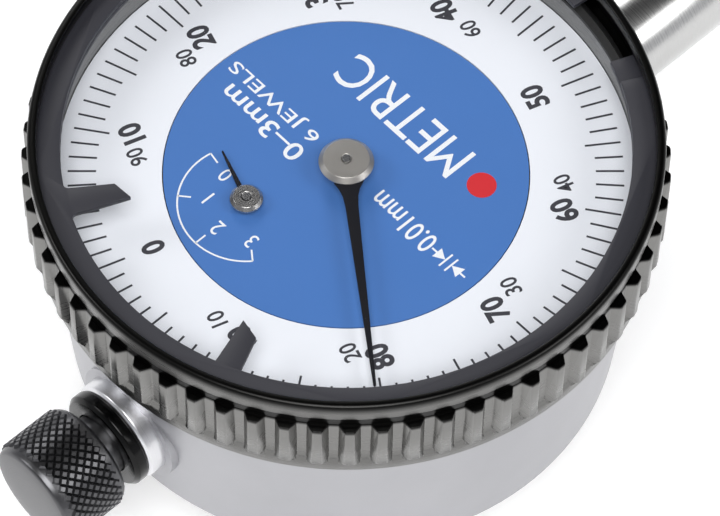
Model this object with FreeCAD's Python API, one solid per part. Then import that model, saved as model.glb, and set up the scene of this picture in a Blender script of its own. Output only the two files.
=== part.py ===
import FreeCAD, Part
import math
import os

# Plunger dial indicator, 58 mm, with a screwed-on magnetic back. Millimetres.
# Origin: centre of the magnet's pole face. +Z: out of the dial. +Y: 12 o'clock, the
# lifting knob. -Y: 6 o'clock, the stem and contact point. Clock angles on the dial are
# in degrees clockwise from 12 o'clock.

V = FreeCAD.Vector

# ---- heights, each from the one below it
POT_HEIGHT = 7.2
COVER_THICK = 1.6
AXIS_ABOVE_POT = 8.8
REAR_PLATE_ABOVE_AXIS = 2.9
REAR_PLATE_THICK = 1.2
PLATE_GAP = 6.2
FRONT_PLATE_THICK = 1.5
DIAL_LIFT = 1.7
DIAL_THICK = 0.5
COVER_TOP_Z = POT_HEIGHT + COVER_THICK
AXIS_Z = POT_HEIGHT + AXIS_ABOVE_POT
REAR_PLATE_Z = AXIS_Z + REAR_PLATE_ABOVE_AXIS
PILLAR_Z = REAR_PLATE_Z + REAR_PLATE_THICK
FRONT_PLATE_Z = PILLAR_Z + PLATE_GAP
FRONT_TOP_Z = FRONT_PLATE_Z + FRONT_PLATE_THICK
DIAL_BOTTOM_Z = FRONT_TOP_Z + DIAL_LIFT
DIAL_Z = DIAL_BOTTOM_Z + DIAL_THICK

# ---- clearances
FIT = 0.02
RUN = 0.1
SHIM = 0.05
EASE = 0.2

# ---- magnetic back
POT_R = 18.0
POT_WALL = 1.8
POT_FLOOR = 2.2
POLE_R = 6.5
SPACER_WIDTH = 1.2
MAGNET_RECESS = 0.15
POT_SCREW_R = 2.0
POT_SCREW_HEAD_R = 4.0
POT_SCREW_HEAD_SINK = 0.4
POT_SCREW_GRIP = 2.4
POT_SOCKET_R = 1.45
POT_SOCKET_DEPTH = 1.4
POT_CHAMFER = 0.5
COVER_HUB_R = 5.0
COVER_HUB_HEIGHT = 2.6

# ---- case
CASE_FOOT_R = 25.85
CASE_SHOULDER_R = CASE_FOOT_R + 1.25
CASE_FOOT_FILLET = 0.6
SHOULDER_Z = FRONT_PLATE_Z - 0.7
NECK_R = CASE_SHOULDER_R - 1.5
NECK_WALL = 1.4
NECK_TOP_Z = DIAL_BOTTOM_Z - 0.9
CAVITY_R = CASE_FOOT_R - 2.45
COVER_R = CASE_FOOT_R - 1.35
COVER_BOSS_R = 2.1
COVER_BOSS_HEIGHT = 5.2
COVER_SCREW_PCR = COVER_R - 2.7
COVER_SCREW_R = 1.0
COVER_SCREW_HEAD_R = 1.9
COVER_SCREW_LENGTH = 5.2
LUG_PCR = CAVITY_R - 1.5
LUG_R = 1.7
LUG_HEIGHT = 6.0
LUG_ANGLES = (75, 195, 315)
LUG_SCREW_R = 0.8
LUG_SCREW_HEAD_R = 1.5
LUG_SCREW_HEAD = 0.9
LUG_SCREW_LENGTH = 4.5

# ---- stem, plunger, knob along Y
STEM_R = 4.7625
STEM_INNER_Y = 0.4 - CAVITY_R
STEM_CHAMFER = 0.5
STEM_SPIGOT_R = 4.3
BUSHING_OUTER_Y = CASE_SHOULDER_R + 1.2
BUSHING_BASE_Y = BUSHING_OUTER_Y - 1.7
STEM_BOSS_R = 6.2
STEM_BOSS_Y = -CASE_SHOULDER_R - 2.9
STEM_OUTER_Y = STEM_BOSS_Y - 18.0
PLUNGER_R = 2.0
PLUNGER_TIP_Y = STEM_OUTER_Y - 8.0
PLUNGER_TOP_Y = BUSHING_OUTER_Y - 3.0
SHOULDER_R = 2.9
SHOULDER_LENGTH = 1.5
CONTACT_LENGTH = 7.0
CONTACT_NECK_R = 1.1
CONTACT_BALL_R = 1.5
CONTACT_THREAD_R = 1.2
CONTACT_THREAD_LENGTH = 4.5
BUSHING_R = 5.0
BUSHING_BASE_R = 5.9
BUSHING_INNER_Y = CAVITY_R - 1.1
BUSHING_GUIDE = 2.2
COLLAR_R = 4.85
COLLAR_FACE_R = 4.5
COLLAR_THICK = 1.5
COLLAR_SPIGOT_R = 4.3
COLLAR_SPIGOT = 1.5
KNOB_NECK_R = 3.0
KNOB_BACK_Y = BUSHING_OUTER_Y + 2.9
KNOB_END_Y = KNOB_BACK_Y + 6.9
KNOB_R = 5.3
KNOB_THREAD_R = 1.2
KNOB_THREAD = 8.0
STROKE = 3.5

# ---- gear train
MODULE = 0.625 / math.pi
ADDENDUM = 0.8 * MODULE
DEDENDUM = 1.15 * MODULE
TOOTH_SHARE = 0.40
FLANK = math.radians(20)
RACK_LINE_X = -1.6
RACK_PINION_TEETH = 16
TRANSFER_TEETH = 100
CENTRE_TEETH = 10
DRIVE_TEETH = 12
COUNTER_TEETH = 84
HAIR_TEETH = 60
WHEEL_THICK = 0.6
WHEEL_BORE_R = 0.6
PIVOT_R = 0.3
ARBOR_R = 0.6
HAND_PIVOT_R = 0.4
TRANSFER_WHEEL_Z = PILLAR_Z + 0.6
CENTRE_PINION_Z = PILLAR_Z + 0.4
CENTRE_PINION_LENGTH = 2.2
HAIR_WHEEL_Z = PILLAR_Z + 1.8
DRIVE_PINION_Z = PILLAR_Z + 2.9
DRIVE_PINION_LENGTH = 1.2
COUNTER_WHEEL_Z = PILLAR_Z + 3.2
RACK_PINION_LENGTH = 1.8
COUNTER_CLOCK = 21.7
HAIR_CLOCK = 290.0
COCK_Z = AXIS_Z - 4.4
COCK_THICK = 1.2
COCK_FOOT_X = (-9.6, -6.2)
COCK_HALF_WIDTH = 2.6
COCK_SCREW_R = 0.7
COCK_SCREW_HEAD_R = 1.1
COCK_SCREW_HEAD = 0.55
COCK_SCREW_LENGTH = 4.0

# ---- plates, jewels, springs
REAR_PLATE_R = CAVITY_R - 2.9
PILLAR_R = 1.5
PILLAR_PCR = REAR_PLATE_R - 2.3
PILLAR_ANGLES = (20, 140, 320)
PILLAR_SCREW_R = 0.6
PILLAR_SCREW_HEAD_R = 1.3
PILLAR_SCREW_HEAD = 0.8
PILLAR_SCREW_LENGTH = 4.0
JEWEL_R = 0.9
JEWEL_THICK = 0.5
GUIDE_PIN_R = 0.6
GUIDE_PIN_Y = -1.0
GUIDE_PIN_END_X = 7.5
GUIDE_X = (2.7, 4.9)
GUIDE_WALL = 1.6
GUIDE_SCREW_R = 0.5
GUIDE_SCREW_HEAD_R = 0.9
GUIDE_SCREW_HEAD = 0.5
GUIDE_SCREW_LENGTH = 3.0
SPRING_X = 6.4
SPRING_COIL_R = 1.1
SPRING_WIRE_R = 0.16
SPRING_PITCH = 0.8
SPRING_POST_Y = -15.0
SPRING_POST_R = 0.6
SPRING_HOOK_R = 0.85
HAIR_SPRING_Z = PILLAR_Z + 4.6
HAIR_SPRING_TURNS = 5
HAIR_SPRING_PITCH = 0.55
HAIR_SPRING_INNER_R = 1.25
HAIR_SPRING_BAND = (0.16, 0.5)
HAIR_STUD_CLOCK = 90.0
HAIR_STUD_R = 0.4
HAIR_STUD_OVERHANG = 0.1
COLLET_R = 1.05
COLLET_LENGTH = 0.7

# ---- dial, hands
DISC_R = 16.45
CARRIER_R = 15.6
CARRIER_WIDTH = 2.4
SCALE_INNER_R = 16.55
SCALE_OUTER_R = NECK_R + 0.5
POINTER_TIP_R = 23.4
POINTER_CLOCK = 306.7
POINTER_THICK = 0.25
POINTER_Z = DIAL_Z + 1.3
POINTER_TIP_HALF = 0.13
# (half width, distance out) of the hands' flanks, from the eye outwards
POINTER_FLARE = [(1.35, 2.1), (0.95, 2.8), (0.7, 3.6), (0.58, 4.8)]
SMALL_POINTER_FLARE = [(0.28, 0.0)]
SMALL_POINTER_TIP_HALF = 0.08
HUB_R = 2.5
HUB_TOP_Z = DIAL_Z + 2.05
HUB_CHAMFER = 0.42
HUB_SPIGOT_R = 1.1
HUB_SPIGOT_Z = DIAL_Z + 0.6
SMALL_POINTER_LENGTH = 5.7
SMALL_POINTER_CLOCK = 109.6
SMALL_POINTER_Z = DIAL_Z + 0.35
SMALL_POINTER_THICK = 0.2
SMALL_HUB_R = 1.5
SMALL_HUB_TOP_Z = DIAL_Z + 1.05
SMALL_HUB_CHAMFER = 0.3
SMALL_SPIGOT_R = 0.8
ARBOR_TIP = 0.12

# ---- bezel, crystal, limit hands
BEZEL_BOTTOM_Z = SHOULDER_Z + 0.2
CRYSTAL_Z = DIAL_Z + 2.9
BEZEL_BAND_R = NECK_R + 2.9
RIB_R = BEZEL_BAND_R + 0.5
RIB_BOTTOM_Z = BEZEL_BOTTOM_Z + 1.7
RIB_TOP_Z = CRYSTAL_Z + 0.3
RIB_COUNT = 64
RIB_GROOVE_R = RIB_R - 0.85
RIB_GROOVE_FLOOR = 0.42
RIB_GROOVE_FLARE = 0.34
WAIST_R = RIB_R - 0.9
WAIST_Z = CRYSTAL_Z + 0.85
LIP_R = RIB_R - 0.65
LIP_INNER_R = LIP_R - 0.85
LIP_TOP_Z = CRYSTAL_Z + 3.4
LEDGE_R = NECK_R - 0.4
LEDGE_THICK = 0.7
CRYSTAL_R = SCALE_OUTER_R + 0.75
CRYSTAL_THICK = 0.8
SEAL_THICK = 0.4
SNAP_Z = SHOULDER_Z + 1.4
SNAP_THICK = 0.5
SNAP_DEPTH = 0.55
SNAP_GAP_HALF = 10.0
LIMIT_OUTER_R = CRYSTAL_R + 0.9
LIMIT_INNER_R = LIMIT_OUTER_R - 2.3
LIMIT_THICK = 0.56
LIMIT_GAP_CLOCK = (187.0, 207.8)
LIMIT_STAGGER = 6.0
LIMIT_FILLET = 0.45
# the limit hands' fingers: (clock angle, reach inwards), root first and last
UPPER_MARKER = [(24.5, 0), (25.0, 5.51), (29.9, 4.45), (31.0, 0)]
LOWER_MARKER = [(334.1, 0), (334.0, 3.85), (338.8, 5.05), (339.6, 0)]


def clock(radius, degrees, z=0.0):
    """A point at a clock angle on the dial."""
    a = math.radians(degrees)
    return V(radius * math.sin(a), radius * math.cos(a), z)


def polar(radius, degrees, z=0.0):
    """A point at an angle counter-clockwise from +X."""
    a = math.radians(degrees)
    return V(radius * math.cos(a), radius * math.sin(a), z)


def disc(radius, z0, z1, centre=V(0, 0, 0)):
    return Part.makeCylinder(radius, z1 - z0, V(centre.x, centre.y, z0), V(0, 0, 1))


def ring(outer, inner, z0, z1, centre=V(0, 0, 0)):
    return disc(outer, z0, z1, centre).cut(disc(inner, z0, z1, centre))


def rod(radius, y0, y1, x=0.0, z=AXIS_Z):
    """A cylinder along Y."""
    return Part.makeCylinder(radius, y1 - y0, V(x, y0, z), V(0, 1, 0))


def box(x, y, z):
    """A box from three (low, high) pairs."""
    return Part.makeBox(x[1] - x[0], y[1] - y[0], z[1] - z[0], V(x[0], y[0], z[0]))


def turned_z(profile, centre=V(0, 0, 0)):
    """A solid of revolution about Z from (radius, z) points."""
    points = [V(r, 0, z) for r, z in profile]
    face = Part.Face(Part.makePolygon(points + points[:1]))
    solid = face.revolve(V(0, 0, 0), V(0, 0, 1), 360)
    solid.translate(V(centre.x, centre.y, 0))
    return solid


def turned_y(profile):
    """A solid of revolution about the plunger's axis from (radius, y) points."""
    points = [V(r, y, AXIS_Z) for r, y in profile]
    face = Part.Face(Part.makePolygon(points + points[:1]))
    return face.revolve(V(0, 0, AXIS_Z), V(0, 1, 0), 360)


def prism(points, z0, z1):
    """An extrusion along Z of a polygon given as vectors."""
    flat = [V(p.x, p.y, z0) for p in points]
    face = Part.Face(Part.makePolygon(flat + flat[:1]))
    return face.extrude(V(0, 0, z1 - z0))


def screw(head_r, head, shank_r, length, place, down=1):
    """A cheese-head screw with a slot. The head stands on place, the shank runs away from it."""
    top = V(0, 0, down)
    body = Part.makeCylinder(head_r, head, place, top)
    body = body.fuse(Part.makeCylinder(shank_r, length, place - top * length, top))
    slot = Part.makeBox(4 * head_r, 0.2 * head_r, 0.4 * head)
    slot_z = place.z + 0.6 * head if down > 0 else place.z - head
    slot.translate(V(place.x - 2 * head_r, place.y - 0.1 * head_r, slot_z))
    return body.cut(slot)


def gear(teeth, centre, z0, thick, phase, bore, spokes=False):
    """A spur wheel with straight flanks. One tooth's centre lies at phase degrees from +X."""
    pitch_r = teeth * MODULE / 2
    tip_r = pitch_r + ADDENDUM
    root_r = pitch_r - DEDENDUM
    half = TOOTH_SHARE * math.pi * MODULE / 2
    tip_half = (half - ADDENDUM * math.tan(FLANK)) / tip_r
    root_half = (half + DEDENDUM * math.tan(FLANK)) / root_r
    points = []
    for k in range(teeth):
        middle = math.radians(phase) + 2 * math.pi * k / teeth
        corners = ((root_r, -root_half), (tip_r, -tip_half), (tip_r, tip_half), (root_r, root_half))
        for radius, turn in corners:
            points.append(V(radius * math.cos(middle + turn), radius * math.sin(middle + turn), 0))
    wheel = prism(points, z0, z0 + thick)
    wheel = wheel.cut(disc(bore, z0, z0 + thick))
    if spokes:
        rim_r = 0.82 * root_r
        hub_r = 0.24 * root_r
        window = ring(rim_r, hub_r, z0, z0 + thick)
        for k in range(4):
            arm = box((0, rim_r + 1), (-0.4, 0.4), (z0, z0 + thick))
            arm.rotate(V(0, 0, 0), V(0, 0, 1), 45 + 90 * k)
            window = window.cut(arm)
        wheel = wheel.cut(window)
    wheel.translate(V(centre.x, centre.y, 0))
    return wheel


def meshing_phase(direction, driver_phase, driver_teeth, teeth):
    """Phase for a wheel at a direction from its driver that puts a gap on the driver's tooth."""
    step = 360.0 / driver_teeth
    lead = (driver_phase - direction + step / 2) % step - step / 2
    return direction + 180.0 - lead * driver_teeth / teeth + 180.0 / teeth


def mesh_distance(teeth_a, teeth_b):
    return (teeth_a + teeth_b) * MODULE / 2


# ---- places of the arbors
CENTRE = V(0, 0, 0)
transfer_x = RACK_LINE_X - RACK_PINION_TEETH * MODULE / 2
transfer_y = -math.sqrt(mesh_distance(TRANSFER_TEETH, CENTRE_TEETH) ** 2 - transfer_x ** 2)
TRANSFER = V(transfer_x, transfer_y, 0)
COUNTER = clock(mesh_distance(COUNTER_TEETH, DRIVE_TEETH), COUNTER_CLOCK)
HAIR = clock(mesh_distance(HAIR_TEETH, CENTRE_TEETH), HAIR_CLOCK)
TRANSFER_DIRECTION = math.degrees(math.atan2(TRANSFER.y, TRANSFER.x))
FRONT_JEWEL_Z = FRONT_TOP_Z - JEWEL_THICK
REAR_JEWEL_Z = REAR_PLATE_Z
COCK_TOP_Z = COCK_Z + COCK_THICK
BEARING_FACE_Z = FRONT_PLATE_Z - EASE
SPRING_START_Y = SPRING_POST_Y + SPRING_POST_R + SPRING_HOOK_R

nodes = {}


def add(name, shape):
    nodes[name] = shape.removeSplitter()


# ---- magnetic back ------------------------------------------------------------------
def countersunk(shank_r, head_r, mouth_z, tail_z, centre, sink=0.0):
    """The solid of a countersunk screw whose flat head lies sink above mouth_z, pointing up."""
    head_z = mouth_z + sink
    neck_z = head_z + head_r - shank_r
    profile = [(0, head_z), (head_r, head_z), (shank_r, neck_z), (shank_r, tail_z), (0, tail_z)]
    return turned_z(profile, centre)


def magnetic_back():
    pot = disc(POT_R, 0, POT_HEIGHT)
    magnet_outer = POT_R - POT_WALL - SPACER_WIDTH
    trench = ring(POT_R - POT_WALL, POLE_R, 0, POT_HEIGHT - POT_FLOOR)
    pot = pot.cut(trench)
    rim = [e for e in pot.Edges
           if abs(e.BoundBox.ZMax - POT_HEIGHT) < 1e-6 and e.BoundBox.XMax > POT_R - 1e-3]
    pot = pot.makeChamfer(POT_CHAMFER, rim)
    screw_tail_z = POT_HEIGHT + POT_SCREW_GRIP
    fixing = countersunk(POT_SCREW_R, POT_SCREW_HEAD_R, 0, screw_tail_z, CENTRE, POT_SCREW_HEAD_SINK)
    pot = pot.cut(fixing).cut(disc(POT_SCREW_HEAD_R, 0, POT_SCREW_HEAD_SINK))
    add("pot_shell", pot)
    magnet_top = POT_HEIGHT - POT_FLOOR
    add("pot_magnet", ring(magnet_outer, POLE_R + SPACER_WIDTH, MAGNET_RECESS, magnet_top))
    spacers = ring(POT_R - POT_WALL, magnet_outer, MAGNET_RECESS, magnet_top)
    spacers = spacers.fuse(ring(POLE_R + SPACER_WIDTH, POLE_R, MAGNET_RECESS, magnet_top))
    add("pot_spacer_rings", spacers)
    socket_floor = POT_SCREW_HEAD_SINK + POT_SOCKET_DEPTH
    socket = prism([polar(POT_SOCKET_R, 60 * k) for k in range(6)], POT_SCREW_HEAD_SINK, socket_floor)
    add("pot_screw", fixing.cut(socket))
    return fixing


# ---- case and back cover ------------------------------------------------------------
def cover_screw(angle):
    tail_z = POT_HEIGHT + COVER_SCREW_LENGTH
    place = polar(COVER_SCREW_PCR, angle)
    return countersunk(COVER_SCREW_R, COVER_SCREW_HEAD_R, POT_HEIGHT, tail_z, place)


def case_and_cover(pot_fixing):
    case = turned_z([
        (0, POT_HEIGHT), (CASE_FOOT_R, POT_HEIGHT), (CASE_SHOULDER_R, SHOULDER_Z),
        (NECK_R, SHOULDER_Z), (NECK_R, NECK_TOP_Z), (0, NECK_TOP_Z)])
    foot = [e for e in case.Edges if abs(e.BoundBox.ZMax - POT_HEIGHT) < 1e-6]
    case = case.makeFillet(CASE_FOOT_FILLET, foot)
    case = case.fuse(rod(STEM_BOSS_R, STEM_BOSS_Y, STEM_INNER_Y))
    case = case.fuse(rod(BUSHING_BASE_R, BUSHING_INNER_Y, BUSHING_BASE_Y))
    case = case.cut(disc(CAVITY_R, COVER_TOP_Z, FRONT_PLATE_Z))
    case = case.cut(disc(NECK_R - NECK_WALL, FRONT_PLATE_Z, NECK_TOP_Z))
    case = case.cut(disc(COVER_R + SHIM, POT_HEIGHT, COVER_TOP_Z))
    for k in range(4):
        place = polar(COVER_SCREW_PCR, 45 + 90 * k)
        boss = disc(COVER_BOSS_R, COVER_TOP_Z, COVER_TOP_Z + COVER_BOSS_HEIGHT, place)
        case = case.fuse(boss.common(disc(CASE_FOOT_R - 1, 0, DIAL_Z)))
    for angle in LUG_ANGLES:
        place = polar(LUG_PCR, angle)
        lug = disc(LUG_R, FRONT_PLATE_Z - LUG_HEIGHT, FRONT_PLATE_Z, place)
        case = case.fuse(lug.common(disc(CAVITY_R + 1, 0, DIAL_Z)))
        case = case.cut(disc(LUG_SCREW_R, FRONT_PLATE_Z - LUG_SCREW_LENGTH, FRONT_PLATE_Z, place))
    case = case.cut(ring(NECK_R, NECK_R - SNAP_DEPTH, SNAP_Z, SNAP_Z + SNAP_THICK + 2 * SHIM))
    case = case.cut(rod(STEM_SPIGOT_R, STEM_BOSS_Y, STEM_INNER_Y + 4))
    case = case.cut(rod(BUSHING_R, BUSHING_INNER_Y - 4, BUSHING_OUTER_Y))

    cover = disc(COVER_R, POT_HEIGHT, COVER_TOP_Z)
    cover = cover.fuse(disc(COVER_HUB_R, COVER_TOP_Z, COVER_TOP_Z + COVER_HUB_HEIGHT))
    cover = cover.cut(pot_fixing)
    screws = [cover_screw(45 + 90 * k) for k in range(4)]
    for one in screws:
        case = case.cut(one)
        cover = cover.cut(one)
    add("case", case)
    add("back_cover", cover)
    slots = []
    for k, one in enumerate(screws):
        place = polar(COVER_SCREW_PCR, 45 + 90 * k)
        across = Part.makeBox(4, 0.4, 0.5, V(place.x - 2, place.y - 0.2, POT_HEIGHT))
        slots.append(one.cut(across))
    add("back_cover_screws", Part.makeCompound(slots))


# ---- stem, plunger and knob ---------------------------------------------------------
def plunger_line():
    stem = turned_y([
        (PLUNGER_R + FIT, STEM_INNER_Y), (STEM_SPIGOT_R, STEM_INNER_Y), (STEM_SPIGOT_R, STEM_BOSS_Y),
        (STEM_R, STEM_BOSS_Y), (STEM_R, STEM_OUTER_Y + STEM_CHAMFER),
        (STEM_R - STEM_CHAMFER, STEM_OUTER_Y), (PLUNGER_R + FIT, STEM_OUTER_Y)])
    add("stem", stem)

    neck_bore_r = KNOB_NECK_R + RUN
    guide_end_y = BUSHING_INNER_Y + BUSHING_GUIDE
    spigot_y = BUSHING_OUTER_Y - COLLAR_SPIGOT
    add("upper_bushing", turned_y([
        (PLUNGER_R + FIT, BUSHING_INNER_Y), (BUSHING_R, BUSHING_INNER_Y), (BUSHING_R, BUSHING_OUTER_Y - 0.3),
        (BUSHING_R - 0.3, BUSHING_OUTER_Y), (COLLAR_SPIGOT_R, BUSHING_OUTER_Y), (COLLAR_SPIGOT_R, spigot_y),
        (neck_bore_r, spigot_y), (neck_bore_r, guide_end_y), (PLUNGER_R + FIT, guide_end_y)]))
    add("dust_collar", turned_y([
        (neck_bore_r, spigot_y), (COLLAR_SPIGOT_R, spigot_y), (COLLAR_SPIGOT_R, BUSHING_OUTER_Y),
        (COLLAR_R - 0.2, BUSHING_OUTER_Y), (COLLAR_R, BUSHING_OUTER_Y + 0.2),
        (COLLAR_R, BUSHING_OUTER_Y + COLLAR_THICK - 0.4), (COLLAR_FACE_R, BUSHING_OUTER_Y + COLLAR_THICK),
        (neck_bore_r, BUSHING_OUTER_Y + COLLAR_THICK)]))

    shoulder_y = STEM_INNER_Y + SHIM
    thread_top_y = PLUNGER_TOP_Y + KNOB_THREAD
    plunger = turned_y([
        (0, PLUNGER_TIP_Y), (PLUNGER_R - 0.2, PLUNGER_TIP_Y), (PLUNGER_R, PLUNGER_TIP_Y + 0.2),
        (PLUNGER_R, shoulder_y), (SHOULDER_R, shoulder_y), (SHOULDER_R, shoulder_y + SHOULDER_LENGTH),
        (PLUNGER_R, shoulder_y + SHOULDER_LENGTH), (PLUNGER_R, PLUNGER_TOP_Y),
        (KNOB_THREAD_R, PLUNGER_TOP_Y), (KNOB_THREAD_R, thread_top_y), (0, thread_top_y)])
    socket_y = PLUNGER_TIP_Y + CONTACT_THREAD_LENGTH + RUN
    plunger = plunger.cut(rod(CONTACT_THREAD_R + FIT, PLUNGER_TIP_Y, socket_y))
    plunger = cut_rack(plunger)
    pin = Part.makeCylinder(GUIDE_PIN_R, GUIDE_PIN_END_X, V(0, GUIDE_PIN_Y, AXIS_Z), V(1, 0, 0))
    groove_middle = V(SPRING_X, GUIDE_PIN_Y, AXIS_Z)
    pin_groove = Part.makeTorus(GUIDE_PIN_R + SPRING_WIRE_R * 0.6, SPRING_WIRE_R, groove_middle, V(1, 0, 0))
    add("plunger", plunger.cut(pin))
    add("guide_pin", pin.cut(pin_groove))

    tip_y = PLUNGER_TIP_Y - CONTACT_LENGTH
    ball_y = tip_y + CONTACT_BALL_R
    thread_end_y = PLUNGER_TIP_Y + CONTACT_THREAD_LENGTH
    ball = Part.makeSphere(CONTACT_BALL_R, V(0, ball_y, AXIS_Z))
    contact = turned_y([
        (0, ball_y + 0.2), (CONTACT_NECK_R, ball_y + 0.2), (CONTACT_NECK_R, ball_y + 1.6),
        (PLUNGER_R - 0.2, ball_y + 3.2), (PLUNGER_R - 0.2, PLUNGER_TIP_Y),
        (CONTACT_THREAD_R, PLUNGER_TIP_Y), (CONTACT_THREAD_R, thread_end_y), (0, thread_end_y)])
    add("contact_point", contact.cut(ball))
    add("contact_ball", ball)

    knob = turned_y([
        (0, PLUNGER_TOP_Y), (KNOB_NECK_R, PLUNGER_TOP_Y), (KNOB_NECK_R, KNOB_BACK_Y),
        (KNOB_R - 0.5, KNOB_BACK_Y), (KNOB_R, KNOB_BACK_Y + 0.5), (KNOB_R, KNOB_END_Y - 1.5),
        (KNOB_R - 0.45, KNOB_END_Y - 0.5), (KNOB_R - 1.5, KNOB_END_Y - 0.08), (0, KNOB_END_Y)])
    knob = knob.cut(rod(KNOB_THREAD_R + FIT, PLUNGER_TOP_Y, thread_top_y + RUN))
    add("lifting_knob", knob)


def cut_rack(plunger):
    """A flat with rack teeth on the plunger's -X side, in mesh with the rack pinion."""
    tip_x = RACK_LINE_X - ADDENDUM
    root_x = RACK_LINE_X + DEDENDUM
    pitch = math.pi * MODULE
    first_y = TRANSFER.y - STROKE - 3 * pitch
    last_y = TRANSFER.y + 3.5 * pitch
    low_z = AXIS_Z - PLUNGER_R - 1
    high_z = AXIS_Z + PLUNGER_R + 1
    flat = box((-PLUNGER_R - 1, tip_x), (first_y, last_y), (low_z, high_z))
    plunger = plunger.cut(flat)
    half_gap = pitch / 2 - TOOTH_SHARE * pitch / 2
    mouth = half_gap + ADDENDUM * math.tan(FLANK)
    floor = half_gap - DEDENDUM * math.tan(FLANK)
    gaps = []
    count = int((last_y - first_y) / pitch)
    offset = (TRANSFER.y - first_y) % pitch
    for k in range(count):
        y = first_y + offset + k * pitch
        if y - mouth > first_y and y + mouth < last_y:
            outline = [V(tip_x, y - mouth, 0), V(root_x, y - floor, 0),
                       V(root_x, y + floor, 0), V(tip_x, y + mouth, 0)]
            gaps.append(prism(outline, low_z, high_z))
    return plunger.cut(Part.makeCompound(gaps))


# ---- movement plates ----------------------------------------------------------------
def movement_frame():
    front = disc(NECK_R - NECK_WALL - SHIM, FRONT_PLATE_Z, FRONT_TOP_Z)
    rear = disc(REAR_PLATE_R, REAR_PLATE_Z, PILLAR_Z)
    cock = rack_cock()

    jewels = []

    def bearing(plate, centre, jewel_z, pivot_r, jewelled=True):
        if not jewelled:
            return plate.cut(disc(pivot_r + FIT, REAR_PLATE_Z - 10, FRONT_TOP_Z + 10, centre))
        jewels.append(ring(JEWEL_R, pivot_r + FIT, jewel_z, jewel_z + JEWEL_THICK, centre))
        plate = plate.cut(disc(JEWEL_R, jewel_z, jewel_z + JEWEL_THICK, centre))
        return plate.cut(disc(pivot_r + 2 * FIT, REAR_PLATE_Z - 10, FRONT_TOP_Z + 10, centre))

    front = bearing(front, CENTRE, FRONT_JEWEL_Z, HAND_PIVOT_R)
    front = bearing(front, COUNTER, FRONT_JEWEL_Z, HAND_PIVOT_R)
    front = bearing(front, TRANSFER, FRONT_JEWEL_Z, PIVOT_R)
    front = bearing(front, HAIR, FRONT_JEWEL_Z, PIVOT_R, jewelled=False)
    rear = bearing(rear, CENTRE, REAR_JEWEL_Z, PIVOT_R)
    rear = bearing(rear, COUNTER, REAR_JEWEL_Z, PIVOT_R)
    rear = bearing(rear, HAIR, REAR_JEWEL_Z, PIVOT_R, jewelled=False)
    rear = rear.cut(disc(ARBOR_R + EASE, REAR_PLATE_Z, PILLAR_Z, TRANSFER))
    cock = bearing(cock, TRANSFER, COCK_Z, PIVOT_R)

    pillars = []
    pillar_screws = []
    for angle in PILLAR_ANGLES:
        place = polar(PILLAR_PCR, angle)
        pillar = disc(PILLAR_R, PILLAR_Z, FRONT_PLATE_Z, place)
        top = screw(PILLAR_SCREW_HEAD_R, PILLAR_SCREW_HEAD, PILLAR_SCREW_R, PILLAR_SCREW_LENGTH,
                    V(place.x, place.y, FRONT_TOP_Z))
        bottom = screw(PILLAR_SCREW_HEAD_R, PILLAR_SCREW_HEAD, PILLAR_SCREW_R, PILLAR_SCREW_LENGTH - 1.5,
                       V(place.x, place.y, REAR_PLATE_Z), -1)
        pillars.append(pillar.cut(top).cut(bottom))
        front = front.cut(top)
        rear = rear.cut(bottom)
        pillar_screws += [top, bottom]
    fixings = []
    for angle in LUG_ANGLES:
        place = polar(LUG_PCR, angle)
        one = screw(LUG_SCREW_HEAD_R, LUG_SCREW_HEAD, LUG_SCREW_R,
                    LUG_SCREW_LENGTH + FRONT_PLATE_THICK - 0.2, V(place.x, place.y, FRONT_TOP_Z))
        front = front.cut(one)
        fixings.append(one)

    foot_x = (COCK_FOOT_X[0] + COCK_FOOT_X[1]) / 2
    cock_screws = []
    for side in (-1, 1):
        place = V(foot_x, TRANSFER.y + side * COCK_HALF_WIDTH / 2, PILLAR_Z - COCK_SCREW_HEAD)
        one = screw(COCK_SCREW_HEAD_R, COCK_SCREW_HEAD, COCK_SCREW_R, COCK_SCREW_LENGTH, place)
        cock_screws.append(one)
        rear = rear.cut(disc(COCK_SCREW_HEAD_R, place.z, PILLAR_Z, place)).cut(one)
        cock = cock.cut(one)

    guide = guide_bracket()
    guide_screws = []
    guide_x = (GUIDE_X[0] + GUIDE_X[1]) / 2
    for y in guide_screw_rows():
        place = V(guide_x, y, PILLAR_Z - GUIDE_SCREW_HEAD)
        one = screw(GUIDE_SCREW_HEAD_R, GUIDE_SCREW_HEAD, GUIDE_SCREW_R, GUIDE_SCREW_LENGTH, place)
        guide_screws.append(one)
        rear = rear.cut(disc(GUIDE_SCREW_HEAD_R, place.z, PILLAR_Z, place)).cut(one)
        guide = guide.cut(one)

    post_place = V(SPRING_X, SPRING_POST_Y, 0)
    post = disc(SPRING_POST_R, AXIS_Z - 1.2, PILLAR_Z, post_place)
    rear = rear.cut(post)
    stud_place = HAIR + clock(hair_spring_outer_r(), HAIR_STUD_CLOCK)
    stud_z = HAIR_SPRING_Z - HAIR_STUD_OVERHANG
    stud = disc(HAIR_STUD_R, stud_z, FRONT_TOP_Z, stud_place)
    front = front.cut(stud)
    thick, height = HAIR_SPRING_BAND
    half_slot = thick / 2 + SHIM
    slot_x = (stud_place.x - half_slot, stud_place.x + half_slot)
    slot_y = (stud_place.y - 1, stud_place.y + 1)
    stud = stud.cut(box(slot_x, slot_y, (stud_z, HAIR_SPRING_Z + height + HAIR_STUD_OVERHANG)))

    add("front_plate", front)
    add("rear_plate", rear)
    add("rack_cock", cock)
    add("jewels", Part.makeCompound(jewels))
    add("pillars", Part.makeCompound(pillars))
    add("pillar_screws", Part.makeCompound(pillar_screws))
    add("movement_screws", Part.makeCompound(fixings))
    add("cock_screws", Part.makeCompound(cock_screws))
    add("guide_bracket", guide)
    add("guide_screws", Part.makeCompound(guide_screws))
    add("spring_post", post)
    add("hairspring_stud", stud)


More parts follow.
